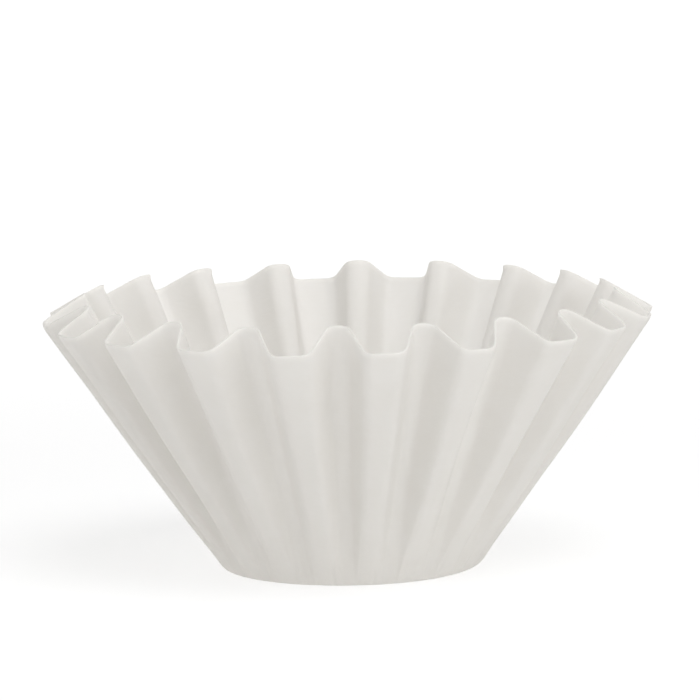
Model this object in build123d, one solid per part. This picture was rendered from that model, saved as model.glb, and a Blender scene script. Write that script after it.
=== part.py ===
"""Flat-bottomed paper coffee filter, pressed from one round sheet into a fluted cup.

Millimetres and degrees. The cup stands on its base with +Z up, and the origin is the middle of
the base's underside. A ridge is a line of the wall where it lies furthest out, a valley one where
it lies furthest in. The first ridge points along +X.

The sheet is bent and hardly stretched. The base has a corner between each ridge and the next
valley, and that half flute spreads like a fan from the corner to its half wave of the rim.
"""
from build123d import *
from itertools import pairwise
from math import asin, atan, atan2, cos, degrees, radians, sin, tan
import os

# The sheet
sheet_diameter = 155.0
paper_thickness = 0.2

# The base, measured where the planes of base and wall meet, and the fold between the two
base_diameter = 46.0
fold_radius = 1.5
fold_steps = 3

# The wall; its flare is its mean slope from upright
wall_flare = 30.9
flute_count = 20

# How far round from a ridge to the next valley the base's corner between them lies
corner_share = 0.6

# The half wave of the rim, which lies on a plane square to the wall. A flat is the straight stretch
# from the middle of a ridge or valley to its bend, and the bend turns from there into the flank.
flute_depth = 7.8
ridge_flat = 1.8
ridge_rounding = 2.3
valley_flat = 0.2
valley_rounding = 1.8
bend_steps = 8

half_pitch = 180 / flute_count
corner_turn = corner_share * half_pitch
fold_angle = 90 - wall_flare
flat_radius = base_diameter / 2 - fold_radius * tan(radians(fold_angle / 2))
wall_slant = sheet_diameter / 2 - flat_radius - fold_radius * radians(fold_angle)
# A ridge and a valley are smooth across their own upright planes, which stand askew to the rim's
skew = degrees(atan(tan(radians(half_pitch / 2)) / cos(radians(wall_flare))))


def turned(shape, angle):
    """A point or face turned round the cup's axis."""
    return shape.rotate(Axis.Z, angle)


def around(shapes):
    """Copies of a flute's points or faces for all the flutes."""
    return [turned(shape, 2 * half_pitch * turn) for turn in range(flute_count) for shape in shapes]


def piece(points):
    """A flat piece of the sheet's surface."""
    return Face(Wire.make_polygon(points))


def fold_point(share, inset, turn):
    """A point at a share of the way round the fold, at a turn from the first ridge."""
    bend_radius = fold_radius - inset
    angle = radians(fold_angle * share)
    point = Vector(flat_radius + bend_radius * sin(angle), 0, fold_radius - bend_radius * cos(angle))
    return turned(point, turn)


# The rim's plane has its first axis round the cup and its second one inwards and up
up_wall = turned(Vector(sin(radians(wall_flare)), 0, cos(radians(wall_flare))), half_pitch / 2)
rim_middle = fold_point(1, 0, half_pitch / 2) + up_wall * wall_slant
rim_plane = Plane(rim_middle, x_dir=turned(Vector(0, 1, 0), half_pitch / 2), z_dir=up_wall)
rim_radius = Vector(rim_middle.X, rim_middle.Y).length


def half_width(inwards):
    """Distance along the rim's plane from its middle to the upright plane of a ridge or valley."""
    return tan(radians(half_pitch / 2)) * (rim_radius - inwards * cos(radians(wall_flare)))


def bend(centre, arm, start, end):
    """Points along a bend, at the end of an arm that turns about the centre."""
    turns = [start + (end - start) * step / bend_steps for step in range(bend_steps + 1)]
    return [centre + turned(Vector(0, arm), turn) for turn in turns]


def half_rim(inset):
    """Points of the rim from the first ridge to the first valley, for a side moved in by the inset."""
    rise = flute_depth / 2
    ridge = Vector(-half_width(-rise), -rise)
    valley = Vector(half_width(rise), rise)
    ridge_centre = ridge + turned(Vector(ridge_flat, ridge_rounding), -skew)
    valley_centre = valley - turned(Vector(valley_flat, valley_rounding), skew)
    # The flank touches both bends from opposite sides
    between = valley_centre - ridge_centre
    flank = atan2(between.Y, between.X) + asin((ridge_rounding + valley_rounding) / between.length)
    wave = [
        Vector(-half_width(inset - rise), inset - rise),
        *bend(ridge_centre, inset - ridge_rounding, -skew, degrees(flank)),
        *bend(valley_centre, inset + valley_rounding, degrees(flank), skew),
        Vector(half_width(inset + rise), inset + rise),
    ]
    return [rim_plane.from_local_coords(point) for point in wave]


def side(inset):
    """Faces of one side of the sheet: the outer one, or the inner one at the paper's thickness."""
    fold = [fold_point(step / fold_steps, inset, corner_turn) for step in range(fold_steps + 1)]
    ridge_step = -2 * corner_turn
    valley_step = 2 * (half_pitch - corner_turn)
    foot = fold[-1]
    rim = half_rim(inset)
    fan = [piece([foot, start, end]) for start, end in pairwise(rim)]
    flute = fan + [face.mirror(Plane.XZ) for face in fan]
    flute.append(piece([foot, turned(foot, ridge_step), rim[0]]))
    flute.append(piece([foot, turned(foot, valley_step), rim[-1]]))
    for low, high in pairwise(fold):
        for step in (ridge_step, valley_step):
            flute.append(piece([low, turned(low, step), turned(high, step), high]))
    base = piece(around([fold[0], turned(fold[0], valley_step)]))
    return around(flute) + [base]


half_edge = piece(half_rim(0) + half_rim(paper_thickness)[::-1])
cut_edge = around([half_edge, half_edge.mirror(Plane.XZ)])
filter_paper = Solid(Shell(side(0) + side(paper_thickness) + cut_edge))

os.makedirs("parts", exist_ok=True)
export_step(filter_paper, "parts/filter_paper.step")
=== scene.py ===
"""Dresses a flat-bottomed paper coffee filter: the fluted sheet, its paper, the stage and the camera.

The frame gives the plain solid in metres, +Z up, with the filter standing on its base at the origin.
The sheet is built here again with soft bends, uneven flutes and a fibrous finish, and stands for the
solid.
"""
from __future__ import annotations

import logging
import math
from collections.abc import Sequence
from dataclasses import dataclass, field, replace
from enum import Enum
from itertools import chain, pairwise

import bpy
import numpy as np
from mathutils import Matrix, Vector

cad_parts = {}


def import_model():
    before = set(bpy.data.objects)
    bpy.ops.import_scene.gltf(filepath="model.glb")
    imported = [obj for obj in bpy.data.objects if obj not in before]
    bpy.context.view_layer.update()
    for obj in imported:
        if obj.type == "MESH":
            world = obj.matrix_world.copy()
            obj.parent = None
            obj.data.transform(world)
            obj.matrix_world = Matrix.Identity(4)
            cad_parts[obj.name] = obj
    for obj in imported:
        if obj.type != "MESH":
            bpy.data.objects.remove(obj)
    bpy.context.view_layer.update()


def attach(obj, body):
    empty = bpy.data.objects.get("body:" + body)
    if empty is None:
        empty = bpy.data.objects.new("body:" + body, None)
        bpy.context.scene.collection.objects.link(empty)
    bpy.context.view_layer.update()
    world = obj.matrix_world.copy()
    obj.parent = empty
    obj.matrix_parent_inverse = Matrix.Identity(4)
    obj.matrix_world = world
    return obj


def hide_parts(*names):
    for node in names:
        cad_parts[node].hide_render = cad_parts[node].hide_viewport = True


LOG = logging.getLogger("paper_coffee_filter")
MM = 0.001
FLAT_LAYER = "flat_mm"
WHITE = (1.0, 1.0, 1.0, 1.0)
LEVEL_ONLY = (1.0, 1.0, 0.0)
TINY = 1e-9

# The screen's colour curve is straight near black and a power above
SRGB_KNEE = 0.04045
SRGB_SLOPE = 12.92
SRGB_OFFSET = 0.055
SRGB_POWER = 2.4

# Where the colours are among the mix node's sockets, which have the same names for each kind of value
MIX_SHARE = 0
MIX_FIRST = 6
MIX_SECOND = 7
MIX_RESULT = 2

Colour = tuple[int, int, int]
Arrays = tuple[np.ndarray, np.ndarray]


class RayLook(Enum):
    """The kinds of ray that see the stage as a plain white background."""

    CAMERA = "Is Camera Ray"
    GLOSSY = "Is Glossy Ray"
    TRANSMISSION = "Is Transmission Ray"


def srgb(red: int, green: int, blue: int) -> tuple[float, float, float, float]:
    """Turns a colour as seen on a screen into the linear colour that shaders take.

    Args:
        red: Red from 0 to 255.
        green: Green from 0 to 255.
        blue: Blue from 0 to 255.

    Returns:
        The linear colour, opaque.
    """
    linear = []
    for value in (red, green, blue):
        share = value / 255
        curved = ((share + SRGB_OFFSET) / (1 + SRGB_OFFSET)) ** SRGB_POWER
        linear.append(share / SRGB_SLOPE if share <= SRGB_KNEE else curved)
    return linear[0], linear[1], linear[2], 1.0


class ShaderTree:
    """A material's or the world's nodes, added and linked in one go."""

    def __init__(self, owner: bpy.types.Material | bpy.types.World) -> None:
        """Empties the owner's node tree.

        Args:
            owner: The material or world to fill.
        """
        owner.use_nodes = True
        self.tree = owner.node_tree
        self.tree.nodes.clear()

    def node(
        self, kind: str, inputs: dict[str | int, object] | None = None, **settings: object
    ) -> bpy.types.Node:
        """Adds a node.

        Args:
            kind: The node's type name.
            inputs: Values or output sockets by input name or number.
            settings: Attributes of the node itself.

        Returns:
            The new node.
        """
        made = self.tree.nodes.new(kind)
        for name, value in settings.items():
            setattr(made, name, value)
        for key, value in (inputs or {}).items():
            if isinstance(value, bpy.types.NodeSocket):
                self.tree.links.new(value, made.inputs[key])
            else:
                made.inputs[key].default_value = value
        return made

    def math(self, operation: str, first: object, second: object) -> bpy.types.NodeSocket:
        """Adds a sum of two numbers or sockets.

        Args:
            operation: The name of the sum, such as MULTIPLY.
            first: The first number or socket.
            second: The second number or socket.

        Returns:
            The socket that holds the result.
        """
        return self.node("ShaderNodeMath", {0: first, 1: second}, operation=operation).outputs[0]

    def length(self, vector: bpy.types.NodeSocket) -> bpy.types.NodeSocket:
        """Adds the length of a vector."""
        return self.node("ShaderNodeVectorMath", {0: vector}, operation="LENGTH").outputs["Value"]

    def ramp(
        self, value: bpy.types.NodeSocket, low: float, high: float, start: float = 0.0
    ) -> bpy.types.NodeSocket:
        """Adds a smooth rise to 1 between two values.

        Args:
            value: The number that the rise follows.
            low: Where it begins.
            high: Where it reaches 1.
            start: What it is before it begins.

        Returns:
            The socket that holds the result.
        """
        inputs = {"Value": value, "From Min": low, "From Max": high, "To Min": start, "To Max": 1.0}
        made = self.node("ShaderNodeMapRange", inputs, interpolation_type="SMOOTHSTEP")
        return made.outputs["Result"]

    def noise(self, place: bpy.types.NodeSocket, scale: float, detail: float) -> bpy.types.NodeSocket:
        """Adds a noise that runs from 0 to 1.

        Args:
            place: The coordinates that it is read at.
            scale: How many blobs there are to a unit of length.
            detail: How many finer layers it has.

        Returns:
            The noise's value.
        """
        made = self.node("ShaderNodeTexNoise", {"Vector": place, "Scale": scale, "Detail": detail})
        return made.outputs["Fac"]

    def blend(self, share: object, first: object, second: object) -> bpy.types.NodeSocket:
        """Adds a mix of two colours.

        Args:
            share: How much of the second colour there is.
            first: The colour at a share of 0.
            second: The colour at a share of 1.

        Returns:
            The mixed colour.
        """
        inputs = {MIX_SHARE: share, MIX_FIRST: first, MIX_SECOND: second}
        return self.node("ShaderNodeMix", inputs, data_type="RGBA").outputs[MIX_RESULT]

    def mix(self, share: object, first: bpy.types.Node, second: bpy.types.Node) -> bpy.types.Node:
        """Adds a mix of two shaders.

        Args:
            share: How much of the second shader there is.
            first: The shader at a share of 0.
            second: The shader at a share of 1.

        Returns:
            The mixed shader.
        """
        return self.node("ShaderNodeMixShader", {0: share, 1: first.outputs[0], 2: second.outputs[0]})

    def background_rays(self) -> bpy.types.NodeSocket:
        """Adds a value that is 1 for the rays that see the stage as a plain background, and else 0.

        Returns:
            The socket that holds the value.
        """
        path = self.node("ShaderNodeLightPath")
        seen = path.outputs[RayLook.CAMERA.value]
        for look in (RayLook.GLOSSY, RayLook.TRANSMISSION):
            seen = self.math("MAXIMUM", seen, path.outputs[look.value])
        return seen


@dataclass(frozen=True)
class PaperFinish:
    """Bleached filter paper: matt, fibrous, a little cloudy, and it lets some light through."""

    colour: Colour = (245, 244, 243)
    cloud_colour: Colour = (237, 235, 231)
    # Painted highlight: the colour of the whiter band along the rim, which stands in for light that
    # shines through and catches the rim
    rim_highlight_colour: Colour = (253, 252, 249)
    through_colour: Colour = (246, 245, 243)
    through_share: float = 0.58
    roughness: float = 0.92
    specular: float = 0.2
    sheen: float = 0.08
    noise_detail: float = 4.0
    cloud_mm: float = 5.0
    fibre_mm: float = 0.5
    fibre_turns: tuple[float, float] = (20.0, 105.0)
    fibre_stretch: float = 4.0
    fibre_depth_mm: float = 0.06
    fibre_strength: float = 0.6
    fleck: float = 0.9
    # Width of the painted highlight band below the rim, in millimetres
    rim_highlight_mm: float = 1.2

    def material(self, sheet_radius: float) -> bpy.types.Material:
        """Makes the paper's material, with its pattern laid out on the flat sheet.

        Args:
            sheet_radius: Radius of the flat sheet in millimetres.

        Returns:
            The material.
        """
        made = bpy.data.materials.new("filter_paper_fibrous")
        tree = ShaderTree(made)
        place = tree.node("ShaderNodeAttribute", attribute_name=FLAT_LAYER).outputs["Vector"]
        fibres = self._fibres(tree, place)
        bump = tree.node(
            "ShaderNodeBump",
            {"Strength": self.fibre_strength, "Distance": self.fibre_depth_mm * MM, "Height": fibres},
        ).outputs["Normal"]
        front = tree.node(
            "ShaderNodeBsdfPrincipled",
            {
                "Base Color": self._colour(tree, place, fibres, sheet_radius),
                "Roughness": self.roughness,
                "Specular IOR Level": self.specular,
                "Sheen Weight": self.sheen,
                "Normal": bump,
            },
        )
        through = tree.node(
            "ShaderNodeBsdfTranslucent", {"Color": srgb(*self.through_colour), "Normal": bump}
        )
        mixed = tree.mix(self.through_share, front, through)
        tree.node("ShaderNodeOutputMaterial", {"Surface": mixed.outputs[0]})
        return made

    def _colour(
        self,
        tree: ShaderTree,
        place: bpy.types.NodeSocket,
        fibres: bpy.types.NodeSocket,
        sheet_radius: float,
    ) -> bpy.types.NodeSocket:
        """Adds the paper's colour: soft clouds, fine flecks between the fibres and a painted highlight,
        a whiter band along the rim.

        Args:
            tree: The material's nodes.
            place: Coordinates on the flat sheet, in millimetres.
            fibres: The fibres' height, from 0 to 1.
            sheet_radius: Radius of the flat sheet in millimetres.

        Returns:
            The colour.
        """
        clouds = tree.noise(place, 1 / self.cloud_mm, self.noise_detail)
        flecks = tree.math("MULTIPLY", tree.math("SUBTRACT", fibres, 0.5), self.fleck)
        share = tree.math("ADD", clouds, flecks)
        cloudy = tree.blend(share, srgb(*self.colour), srgb(*self.cloud_colour))
        # Painted highlight: the last millimetres below the rim are blended towards a whiter colour,
        # standing in for light that shines through and catches the rim
        level = tree.node("ShaderNodeVectorMath", {0: place, 1: LEVEL_ONLY}, operation="MULTIPLY")
        edge = tree.ramp(tree.length(level.outputs[0]), sheet_radius - self.rim_highlight_mm, sheet_radius)
        return tree.blend(edge, cloudy, srgb(*self.rim_highlight_colour))

    def _fibres(self, tree: ShaderTree, place: bpy.types.NodeSocket) -> bpy.types.NodeSocket:
        """Adds two layers of stretched fibres that cross each other.

        Args:
            tree: The material's nodes.
            place: Coordinates on the flat sheet, in millimetres.

        Returns:
            The fibres' height, from 0 to 1.
        """
        layers = []
        for turn in self.fibre_turns:
            laid = tree.node(
                "ShaderNodeMapping",
                {
                    "Vector": place,
                    "Rotation": (0.0, 0.0, math.radians(turn)),
                    "Scale": (1 / self.fibre_stretch, 1.0, 1.0),
                },
            ).outputs[0]
            layers.append(tree.noise(laid, 1 / self.fibre_mm, self.noise_detail))
        return tree.math("MULTIPLY", tree.math("ADD", *layers), 1 / len(layers))


@dataclass(frozen=True)
class FluteEnd:
    """The middle of a ridge or a valley, where one half flute ends and the next one starts.

    Lengths are in millimetres and angles in radians. The flat is the straight stretch of the rim from
    here to the bend, and the groove start is the share of the wall's slope that stays plain below.
    """

    turn: float
    rise: float
    flat: float
    rounding: float
    groove_start: float


@dataclass(frozen=True)
class HalfFlute:
    """The wall between a ridge and the next valley, or between a valley and the next ridge."""

    start: FluteEnd
    end: FluteEnd
    corner_share: float
    softness: float
    ramp_softness: float = 0.02
    opening: float = 0.75
    bend_steps: int = 16

    @property
    def sweep(self) -> float:
        """The turn from start to end."""
        return self.end.turn - self.start.turn

    def rim(self, rim_radius: float) -> np.ndarray:
        """Draws the rim with the wall unrolled: a flat, a bend, a straight flank, a bend and a flat.

        Args:
            rim_radius: The wall's mean radius at the rim.

        Returns:
            Points along the rim as rows of distance from the start and rise from the middle of the wall.
        """
        start, end = self.start, self.end
        width = self.sweep * rim_radius
        side = math.copysign(1.0, end.rise - start.rise)
        across = width - start.flat - end.flat
        climb = side * (end.rise - start.rise) - start.rounding - end.rounding
        slope = math.atan2(climb, across)
        slope += math.asin((start.rounding + end.rounding) / math.hypot(across, climb))
        angles = np.linspace(0.0, slope, self.bend_steps + 1)
        first = np.column_stack([
            start.flat + start.rounding * np.sin(angles),
            start.rise + side * start.rounding * (1 - np.cos(angles)),
        ])
        last = np.column_stack([
            width - end.flat - end.rounding * np.sin(angles),
            end.rise - side * end.rounding * (1 - np.cos(angles)),
        ])
        return np.vstack([[0.0, start.rise], first, last[::-1], [width, end.rise]])

    def spread(self, up: float, steps: np.ndarray) -> np.ndarray:
        """Gives how far the rim's wave has opened at a height, from 0 at the foot to 1 at the rim.

        Args:
            up: Share of the way up the wall.
            steps: Shares of the way from start to end.

        Returns:
            The spread at each step.
        """
        plain = self.start.groove_start + (self.end.groove_start - self.start.groove_start) * steps
        soft = self.ramp_softness
        ramp = np.logaddexp(0.0, (up - plain) / soft) / np.logaddexp(0.0, (1 - plain) / soft)
        return ramp ** self.opening

    def line(self, up: float, radius: float, rim_radius: float, steps: np.ndarray) -> Arrays:
        """Follows the wall round at one height, at even steps of the sheet.

        The line is a mix of a crisp fan from the foot's corner and a soft one that is ruled straight
        up to the rim, and it is all soft at the rim.

        Args:
            up: Share of the way up the wall.
            radius: The wall's mean radius at this height.
            rim_radius: The wall's mean radius at the rim.
            steps: Shares of the way from start to end.

        Returns:
            Turn round the axis and rise from the middle of the wall at each step.
        """
        wave = self.rim(rim_radius)
        halfway = np.array([0.5])
        spread = float(self.spread(up, halfway)[0])
        fan_turn = self.corner_share * self.sweep
        fan_turn = fan_turn + spread * (wave[:, 0] - self.corner_share * wave[-1, 0]) / radius
        turn = np.concatenate([[0.0], fan_turn, [self.sweep]])
        rise = np.concatenate([wave[:1, 1], wave[:, 1], wave[-1:, 1]])
        crisp_turn, crisp_rise = self._along(turn, spread * rise, radius, steps)
        rim_turn, rim_rise = self._along(wave[:, 0] / rim_radius, wave[:, 1], rim_radius, steps)
        soft = 1 - (1 - self.softness) * (1 - up)
        ruled_turn = steps * self.sweep * (1 - spread) + rim_turn * spread
        scale = self.spread(up, steps) / max(spread, TINY)
        mixed_rise = ((1 - soft) * crisp_rise + soft * rim_rise * spread) * scale
        return self.start.turn + (1 - soft) * crisp_turn + soft * ruled_turn, mixed_rise

    def _along(self, turn: np.ndarray, rise: np.ndarray, radius: float, steps: np.ndarray) -> Arrays:
        """Finds points at even steps along a line round the wall.

        Args:
            turn: The line's turn round the axis.
            rise: The line's rise from the middle of the wall.
            radius: The wall's mean radius at this height.
            steps: Shares of the line's length.

        Returns:
            Turn and rise at each step.
        """
        gaps = np.hypot(np.diff(turn) * radius, np.diff(rise))
        length = np.concatenate([[0.0], np.cumsum(gaps)])
        wanted = steps * length[-1]
        return np.interp(wanted, length, turn), np.interp(wanted, length, rise)


@dataclass(frozen=True)
class Fold:
    """The bend from the base into the wall, as a mean or at every column of the sheet.

    Lengths are in millimetres and the angle in radians. The base radius is where the planes of base
    and wall meet. A share of 0 is where the base ends and a share of 1 is the wall's foot.
    """

    base_radius: float
    radius: float | np.ndarray
    angle: float

    @property
    def flat_radius(self) -> float | np.ndarray:
        """Distance from the axis to the end of the flat base."""
        return self.base_radius - self.radius * math.tan(self.angle / 2)

    def out(self, share: float) -> float | np.ndarray:
        """Gives the distance from the axis at a share of the way round."""
        return self.flat_radius + self.radius * math.sin(share * self.angle)

    def height(self, share: float) -> float | np.ndarray:
        """Gives the height at a share of the way round."""
        return self.radius * (1 - math.cos(share * self.angle))

    def reach(self, share: float) -> float | np.ndarray:
        """Gives the distance from the flat sheet's middle at a share of the way round."""
        return self.flat_radius + self.radius * (share * self.angle)


@dataclass(frozen=True)
class Wave:
    """A sine wave round the cup: how often it repeats, which of the random phases it has and its size.

    The climb is how far it shifts from foot to rim, in radians.
    """

    count: int
    phase: int
    size: float = 1.0
    climb: float = 0.0


@dataclass
class FilterPaper:
    """One round sheet of filter paper, pressed into a cup with a flat base and a fluted wall.

    Lengths are in millimetres and angles in degrees. A ridge is where the wall lies furthest out, a
    valley where it lies furthest in. The first ridge points along +X.
    """

    finish: PaperFinish
    sheet_radius: float = 77.5
    thickness: float = 0.2
    edge_swell: float = 0.1
    edge_swell_rows: int = 2
    lip_length: float = 1.3
    lip_roll: float = 0.22
    base_radius: float = 23.0
    fold_radius: float = 1.5
    soft_fold_extra: float = 1.8
    soft_fold_turn: float = 0.0
    soft_fold_narrowing: int = 3
    wall_flare: float = 30.9
    flute_count: int = 20
    corner_share: float = 0.6
    flute_depth: float = 7.8
    ridge_flat: float = 1.7
    ridge_rounding: float = 2.3
    valley_flat: float = 0.3
    valley_rounding: float = 2.1
    groove_start: float = 0.02
    foot_softness: float = 0.6
    turn_spread: float = 0.35
    depth_spread: float = 0.05
    flat_spread: float = 0.12
    groove_start_spread: float = 0.02
    flare_spread: float = 0.35
    flare_waves: tuple[Wave, ...] = (Wave(2, 0), Wave(3, 1, 0.6), Wave(5, 2, 0.4))
    dent_depth: float = 0.16
    dent_growth: float = 3.0
    dent_waves: tuple[Wave, ...] = (
        Wave(7, 3, climb=4.0),
        Wave(11, 4, climb=-6.0),
        Wave(17, 5, climb=9.0),
        Wave(26, 6, climb=-5.0),
    )
    pucker_depth: float = 0.07
    pucker_reach: float = 0.07
    pucker_waves: tuple[Wave, ...] = (Wave(61, 7), Wave(83, 8, 0.8), Wave(108, 9, 0.6))
    base_bow: float = 0.3
    base_ripple: float = 0.35
    base_waves: tuple[Wave, ...] = (Wave(3, 0), Wave(5, 1))
    phase_count: int = 10
    base_rows: int = 7
    fold_rows: int = 6
    wall_rows: int = 46
    rim_rows: tuple[float, ...] = (0.989, 0.996, 1.0)
    half_flute_columns: int = 19
    seed: int = 11
    flutes: list[HalfFlute] = field(init=False)
    phases: np.ndarray = field(init=False)

    def __post_init__(self) -> None:
        """Settles the flutes, with small differences between them."""
        rng = np.random.default_rng(self.seed)
        ends = [self._flute_end(number, rng) for number in range(2 * self.flute_count)]
        last = replace(ends[0], turn=ends[0].turn + 2 * math.pi)
        self.flutes = []
        for number, (start, end) in enumerate(pairwise([*ends, last])):
            share = self.corner_share if number % 2 == 0 else 1 - self.corner_share
            self.flutes.append(HalfFlute(start, end, share, self.foot_softness))
        self.phases = rng.uniform(0.0, 2 * math.pi, self.phase_count)

    def build(self) -> bpy.types.Object:
        """Builds the sheet, dresses it, hangs it under the root body and hides the plain solid.

        Returns:
            The sheet's object.
        """
        outer, flat = self._outer_side()
        piece = self._mesh(outer, flat)
        piece.data.materials.append(self.finish.material(self.sheet_radius))
        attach(piece, "root")
        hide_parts("filter_paper")
        return piece

    def _flute_end(self, number: int, rng: np.random.Generator) -> FluteEnd:
        """Settles the middle of a ridge or valley, a little off its even place and size.

        Args:
            number: Its number round the cup. Ridges are even and valleys odd.
            rng: The source of the small differences.

        Returns:
            The middle of the ridge or valley.
        """
        ridge = number % 2 == 0
        side = 1.0 if ridge else -1.0
        mean_flat = self.ridge_flat if ridge else self.valley_flat
        turn = number * 180.0 / self.flute_count + rng.normal(0.0, self.turn_spread)
        rise = side * self.flute_depth / 2 * (1 + rng.normal(0.0, self.depth_spread))
        flat = mean_flat * (1 + rng.normal(0.0, self.flat_spread))
        rounding = self.ridge_rounding if ridge else self.valley_rounding
        groove_start = self.groove_start + abs(rng.normal(0.0, self.groove_start_spread))
        return FluteEnd(math.radians(turn), rise, flat, rounding, groove_start)

    def _outer_side(self) -> Arrays:
        """Works out the sheet's outer side.

        Returns:
            Points by row, from the base's middle to the rim, and column, and the same points on the
            flat sheet.
        """
        flare = math.radians(self.wall_flare)
        mean = Fold(self.base_radius, self.fold_radius, math.pi / 2 - flare)
        foot_radius = mean.out(1.0)
        rim_radius = foot_radius + (self.sheet_radius - mean.reach(1.0)) * math.sin(flare)
        ups = np.append(np.linspace(0.0, 1.0, self.wall_rows, endpoint=False), self.rim_rows)
        turns, rises = self._wall_lines(ups, foot_radius, rim_radius)
        fold = replace(mean, radius=self._fold_radii(turns[0]))
        rows = [
            *self._base_part(turns[0], fold),
            *self._fold_part(turns[0], fold),
            *self._wall_part(ups, turns, rises, fold),
        ]
        flat = [self._flat_ring(reach) for _, reach in rows]
        return np.array([ring for ring, _ in rows]), np.array(flat)

    def _base_part(self, turn: np.ndarray, fold: Fold) -> list[Arrays]:
        """Works out the rows of the base.

        Args:
            turn: Turn round the axis at each column.
            fold: The fold at each column.

        Returns:
            Each row's points, and their distances from the flat sheet's middle.
        """
        rows = []
        for share in np.linspace(0.0, 1.0, self.base_rows + 1)[1:]:
            radius = fold.flat_radius * share
            rows.append((self._ring(turn, radius, self._base_rise(turn, share)), radius))
        return rows

    def _fold_part(self, turn: np.ndarray, fold: Fold) -> list[Arrays]:
        """Works out the rows between the base's end and the wall's foot.

        Args:
            turn: Turn round the axis at each column.
            fold: The fold at each column.

        Returns:
            Each row's points, and their distances from the flat sheet's middle.
        """
        rows = []
        for share in np.linspace(0.0, 1.0, self.fold_rows + 1)[1:-1]:
            radius = fold.out(share) - self._puckers(turn) * math.sin(math.pi / 2 * share)
            rows.append((self._ring(turn, radius, fold.height(share)), fold.reach(share)))
        return rows

    def _wall_part(
        self, ups: np.ndarray, turns: np.ndarray, rises: np.ndarray, fold: Fold
    ) -> list[Arrays]:
        """Works out the rows of the wall, from its foot to the rim.

        Args:
            ups: Shares of the way up the wall.
            turns: Turn round the axis, by row and column.
            rises: Rise from the middle of the wall, by row and column.
            fold: The fold at each column.

        Returns:
            Each row's points, and their distances from the flat sheet's middle.
        """
        wall = self.sheet_radius - fold.reach(1.0)
        flare = math.radians(self.wall_flare)
        rows = []
        for up, turn, rise in zip(ups, turns, rises):
            lean = flare + math.radians(self.flare_spread) * self._flare_wave(turn) * up
            pucker = self._puckers(turns[0]) * math.exp(-((up / self.pucker_reach) ** 2))
            lip = np.clip(1 - (1 - up) * wall / self.lip_length, 0.0, None)
            out = rise + self._dents(turn, up) - pucker - self.lip_roll * lip**2
            radius = fold.out(1.0) + up * wall * np.sin(lean) + out * np.cos(lean)
            height = fold.height(1.0) + up * wall * np.cos(lean) - out * np.sin(lean)
            rows.append((self._ring(turn, radius, height), self.sheet_radius - wall * (1 - up)))
        return rows

    def _wall_lines(self, ups: np.ndarray, foot_radius: float, rim_radius: float) -> Arrays:
        """Follows all the flutes round the wall at each height.

        Args:
            ups: Shares of the way up the wall.
            foot_radius: The wall's mean radius at its foot.
            rim_radius: The wall's mean radius at the rim.

        Returns:
            Turn round the axis and rise from the middle of the wall, by row and column.
        """
        steps = np.arange(self.half_flute_columns) / self.half_flute_columns
        turns = []
        rises = []
        for up in ups:
            radius = foot_radius + up * (rim_radius - foot_radius)
            lines = [flute.line(up, radius, rim_radius, steps) for flute in self.flutes]
            turns.append(np.concatenate([turn for turn, _ in lines]))
            rises.append(np.concatenate([rise for _, rise in lines]))
        return np.array(turns), np.array(rises)

    def _wave_sum(self, waves: tuple[Wave, ...], turn: np.ndarray, up: float = 0.0) -> np.ndarray:
        """Adds up waves round the cup.

        Args:
            waves: The waves.
            turn: Turn round the axis at each column.
            up: Share of the way up the wall.

        Returns:
            The sum at each column.
        """
        total = np.zeros_like(turn)
        for wave in waves:
            angle = wave.count * turn + wave.climb * up + self.phases[wave.phase]
            total += wave.size * np.sin(angle)
        return total

    def _base_rise(self, turn: np.ndarray, share: float) -> np.ndarray:
        """Gives the height of the slightly bowed base.

        Args:
            turn: Turn round the axis at each column.
            share: Share of the way from the middle of the base to its fold.

        Returns:
            The base's height above the plane that it stands on.
        """
        bow = (1 - share**2) ** 2
        ripple = self.base_ripple * share * (1 - share) * self._wave_sum(self.base_waves, turn)
        return self.base_bow * np.clip(bow + ripple, 0.0, None)

    def _fold_radii(self, turn: np.ndarray) -> np.ndarray:
        """Gives the fold's radius round the base, which is softer on one side."""
        near = 0.5 + 0.5 * np.cos(turn - math.radians(self.soft_fold_turn))
        return self.fold_radius + self.soft_fold_extra * near**self.soft_fold_narrowing

    def _flare_wave(self, turn: np.ndarray) -> np.ndarray:
        """Gives the slow change of the flare round the mouth, from about -1 to 1."""
        return self._wave_sum(self.flare_waves, turn) / sum(wave.size for wave in self.flare_waves)

    def _dents(self, turn: np.ndarray, up: float) -> np.ndarray:
        """Gives how far out the wall's shallow unevenness pushes it, which fades out at the foot."""
        fade = min(1.0, self.dent_growth * up)
        return self.dent_depth / 2 * self._wave_sum(self.dent_waves, turn, up) * fade

    def _puckers(self, turn: np.ndarray) -> np.ndarray:
        """Gives the depth of the small upright creases round the fold."""
        return self.pucker_depth * np.clip(self._wave_sum(self.pucker_waves, turn), 0.0, None)

    def _ring(self, turn: np.ndarray, radius: np.ndarray, height: np.ndarray) -> np.ndarray:
        """Turns round coordinates into points."""
        return np.column_stack([radius * np.cos(turn), radius * np.sin(turn), height])

    def _flat_ring(self, radius: np.ndarray) -> np.ndarray:
        """Gives a ring of points on the flat sheet, at even turns."""
        turn = np.linspace(0.0, 2 * math.pi, len(radius), endpoint=False)
        return np.column_stack([radius * np.cos(turn), radius * np.sin(turn)])

    def _inner_side(self, outer: np.ndarray) -> np.ndarray:
        """Moves each point of the outer side through the paper's thickness.

        Args:
            outer: Points of the outer side by row and column.

        Returns:
            Points of the inner side, in the same order.
        """
        around = np.roll(outer, -1, axis=1) - np.roll(outer, 1, axis=1)
        along = np.gradient(outer, axis=0)
        inward = np.cross(along, around)
        inward /= np.linalg.norm(inward, axis=2, keepdims=True)
        depth = np.full((len(outer), 1, 1), self.thickness)
        depth[-self.edge_swell_rows:] += self.edge_swell
        return outer + inward * depth

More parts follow.
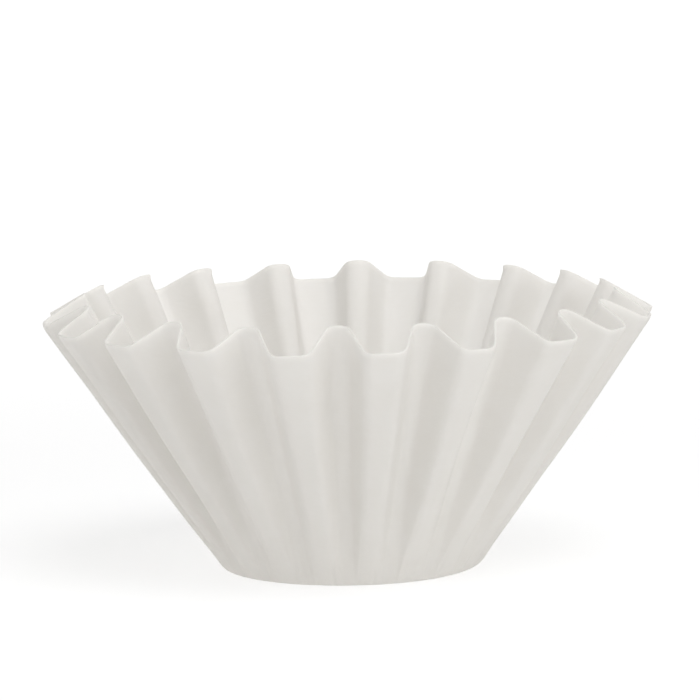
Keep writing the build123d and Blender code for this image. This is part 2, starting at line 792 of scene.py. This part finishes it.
    def _mesh(self, outer: np.ndarray, flat: np.ndarray) -> bpy.types.Object:
        """Joins both sides and the cut edge into one closed mesh.

        Args:
            outer: Points of the outer side by row and column.
            flat: The same points on the flat sheet.

        Returns:
            The sheet's object, without a material.
        """
        rows, columns = outer.shape[:2]
        count = rows * columns
        middle = np.array([[0.0, 0.0, self.base_bow], [0.0, 0.0, self.base_bow + self.thickness]])
        points = np.vstack([outer.reshape(-1, 3), self._inner_side(outer).reshape(-1, 3), middle]) * MM
        index = np.arange(count).reshape(rows, columns)
        beside = np.roll(index, -1, axis=1)
        quads = np.stack([index[:-1], index[1:], beside[1:], beside[:-1]], axis=-1).reshape(-1, 4)
        edge = np.stack([index[-1], index[-1] + count, beside[-1] + count, beside[-1]], axis=-1)
        under = np.stack([np.full(columns, 2 * count), index[0], beside[0]], axis=-1)
        over = np.stack([np.full(columns, 2 * count + 1), beside[0] + count, index[0] + count], axis=-1)
        faces = [grid.tolist() for grid in (quads, quads[:, ::-1] + count, edge, under, over)]
        mesh = bpy.data.meshes.new("filter_paper_sheet")
        mesh.from_pydata(points.tolist(), [], list(chain.from_iterable(faces)))
        mesh.validate()
        mesh.shade_smooth()
        # The two sides lie apart in the pattern, so that their fibres differ
        places = np.zeros((len(points), 3), dtype=np.float32)
        places[:count, :2] = flat.reshape(-1, 2)
        places[count:2 * count, :2] = flat.reshape(-1, 2)
        places[count:2 * count, 2] = self.sheet_radius
        places[2 * count + 1, 2] = self.sheet_radius
        layer = mesh.attributes.new(FLAT_LAYER, "FLOAT_VECTOR", "POINT")
        layer.data.foreach_set("vector", places.ravel())
        piece = bpy.data.objects.new("filter_paper_sheet", mesh)
        bpy.context.scene.collection.objects.link(piece)
        return piece


@dataclass(frozen=True)
class SoftLamp:
    """A round soft lamp that points at the object. Power in watts, lengths in metres."""

    name: str
    power: float
    size: float
    place: tuple[float, float, float]

    def build(self) -> None:
        """Hangs the lamp."""
        lamp = bpy.data.lights.new(self.name, "AREA")
        lamp.energy = self.power
        lamp.shape = "DISK"
        lamp.size = self.size
        hung = bpy.data.objects.new(self.name, lamp)
        bpy.context.scene.collection.objects.link(hung)
        hung.visible_camera = False
        hung.location = self.place
        hung.rotation_euler = (-Vector(self.place)).to_track_quat("-Z", "Y").to_euler()


@dataclass
class Stage:
    """A plain pale floor, soft light from all round and large soft lamps. Lengths in metres."""

    floor_size: float = 6.0
    floor_gap: float = 0.00005
    floor_colour: Colour = (236, 236, 235)
    floor_keep: float = 0.50
    near_glow: float = 0.66
    near_reach: float = 0.12
    far_reach: float = 0.80
    fill_strength: float = 0.30
    lamps: tuple[SoftLamp, ...] = (
        SoftLamp("top_lamp", 6.0, 0.9, (0.18, -0.45, 1.12)),
        SoftLamp("right_lamp", 5.2, 1.0, (0.80, -0.97, 0.10)),
        SoftLamp("front_lamp", 2.2, 1.0, (0.20, -1.24, 0.08)),
        SoftLamp("left_lamp", 1.5, 1.0, (-1.16, -0.46, 0.10)),
        SoftLamp("back_lamp", 2.6, 1.0, (0.15, 1.24, 0.12)),
    )

    def build(self) -> None:
        """Builds the floor, the world and the lamps."""
        self._floor()
        self._world()
        for lamp in self.lamps:
            lamp.build()

    def _floor(self) -> None:
        """Builds the floor, a hair below the plane that the object stands on."""
        half = self.floor_size / 2
        low = -self.floor_gap
        corners = [(-half, -half, low), (half, -half, low), (half, half, low), (-half, half, low)]
        mesh = bpy.data.meshes.new("floor")
        mesh.from_pydata(corners, [], [(0, 1, 2, 3)])
        mesh.materials.append(self._floor_material())
        floor = bpy.data.objects.new("floor", mesh)
        bpy.context.scene.collection.objects.link(floor)

    def _floor_material(self) -> bpy.types.Material:
        """Makes the floor's material: white from above apart from the shadow, and clear from below.

        Returns:
            The material.
        """
        made = bpy.data.materials.new("pale_floor")
        tree = ShaderTree(made)
        place = tree.node("ShaderNodeNewGeometry")
        reach = tree.length(place.outputs["Position"])
        strength = tree.ramp(reach, self.near_reach, self.far_reach, self.near_glow)
        plain = tree.node("ShaderNodeBsdfDiffuse", {"Color": srgb(*self.floor_colour)})
        kept = tree.node("ShaderNodeBsdfDiffuse", {"Color": (self.floor_keep,) * 3 + (1.0,)})
        glow = tree.node("ShaderNodeEmission", {"Strength": strength})
        seen = tree.node("ShaderNodeAddShader", {0: kept.outputs[0], 1: glow.outputs[0]})
        look = tree.mix(tree.background_rays(), plain, seen)
        camera_ray = tree.node("ShaderNodeLightPath").outputs[RayLook.CAMERA.value]
        below = tree.math("MULTIPLY", place.outputs["Backfacing"], camera_ray)
        shown = tree.mix(below, look, tree.node("ShaderNodeBsdfTransparent"))
        tree.node("ShaderNodeOutputMaterial", {"Surface": shown.outputs[0]})
        return made

    def _world(self) -> None:
        """Lights the scene evenly, with a plain white background."""
        world = bpy.data.worlds.new("soft_surround")
        bpy.context.scene.world = world
        tree = ShaderTree(world)
        strength = tree.math("MAXIMUM", tree.background_rays(), self.fill_strength)
        light = tree.node("ShaderNodeBackground", {"Color": WHITE, "Strength": strength})
        tree.node("ShaderNodeOutputWorld", {"Surface": light.outputs[0]})


@dataclass
class PhotoCamera:
    """A long lens a little above the rim, held slightly askew. Lengths in metres, angles in degrees."""

    distance: float = 1.07
    turn: float = -96.5
    elevation: float = 7.65
    roll: float = 0.95
    aim_height: float = 0.03865
    aim_right: float = 0.00025
    lens_mm: float = 309.3
    clip_start: float = 0.05

    def build(self) -> None:
        """Sets up the camera and makes it the scene's own."""
        turn = math.radians(self.turn)
        right = Vector((-math.sin(turn), math.cos(turn), 0.0))
        aim = self.aim_right * right + Vector((0.0, 0.0, self.aim_height))
        level = self.distance * math.cos(math.radians(self.elevation))
        rise = self.distance * math.sin(math.radians(self.elevation))
        place = aim + Vector((level * math.cos(turn), level * math.sin(turn), rise))
        facing = (aim - place).to_track_quat("-Z", "Y").to_matrix().to_4x4()
        camera = bpy.data.cameras.new("photo_camera")
        camera.lens = self.lens_mm
        camera.clip_start = self.clip_start
        held = bpy.data.objects.new("photo_camera", camera)
        bpy.context.scene.collection.objects.link(held)
        askew = Matrix.Rotation(-math.radians(self.roll), 4, "Z")
        held.matrix_world = Matrix.Translation(place) @ facing @ askew
        bpy.context.scene.camera = held


def main() -> None:
    """Builds the filter, its stage and the camera in order."""
    logging.basicConfig(level=logging.INFO, format="%(name)s: %(message)s")
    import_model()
    bpy.context.scene.view_settings.view_transform = "Standard"
    sheet = FilterPaper(PaperFinish()).build()
    LOG.info("%s: %d faces", sheet.name, len(sheet.data.polygons))
    Stage().build()
    PhotoCamera().build()


if __name__ == "__main__":
    main()
